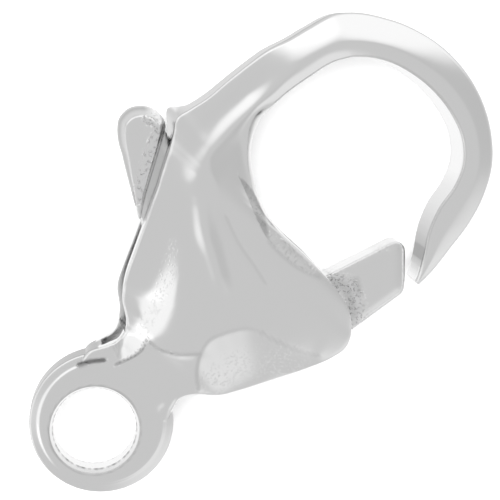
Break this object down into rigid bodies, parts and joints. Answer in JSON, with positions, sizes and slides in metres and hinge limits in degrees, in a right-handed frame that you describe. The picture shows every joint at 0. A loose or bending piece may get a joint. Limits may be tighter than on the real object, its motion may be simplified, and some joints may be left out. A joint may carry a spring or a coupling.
{
  "type": "lobster clasp",
  "caption": "Polished silver lobster claw clasp with a bail ring, a hollow ridged claw, a hooked jaw and a sprung lever with a thumb tab and gate.",
  "frame": {"origin": "centre of the bail ring's hole, on the clasp's mid plane", "axes": "+X from the bail ring to the hook, +Y towards the thumb tab, +Z along the bail hole and the pivot, up from the mid plane"},
  "size_m": [0.0193, 0.0111, 0.0034],
  "materials": {
    "cast_silver": "polished sterling silver",
    "lever_silver": "polished sterling silver",
    "pin_silver": "polished sterling silver"
  },
  "bodies": {
    "claw": {"body": "cast_silver", "pivot_pin": "pin_silver"},
    "lever": {"lever": "lever_silver"}
  },
  "joints": [
    {"name": "lever_pivot", "type": "hinge", "parent": "claw", "child": "lever", "pos_m": [0.00507, -0.00045, 0], "axis": [0, 0, 1], "range_deg": [0, 26], "stiffness_Nm_per_rad": 0.0005, "springref_deg": -20.05}
  ]
}
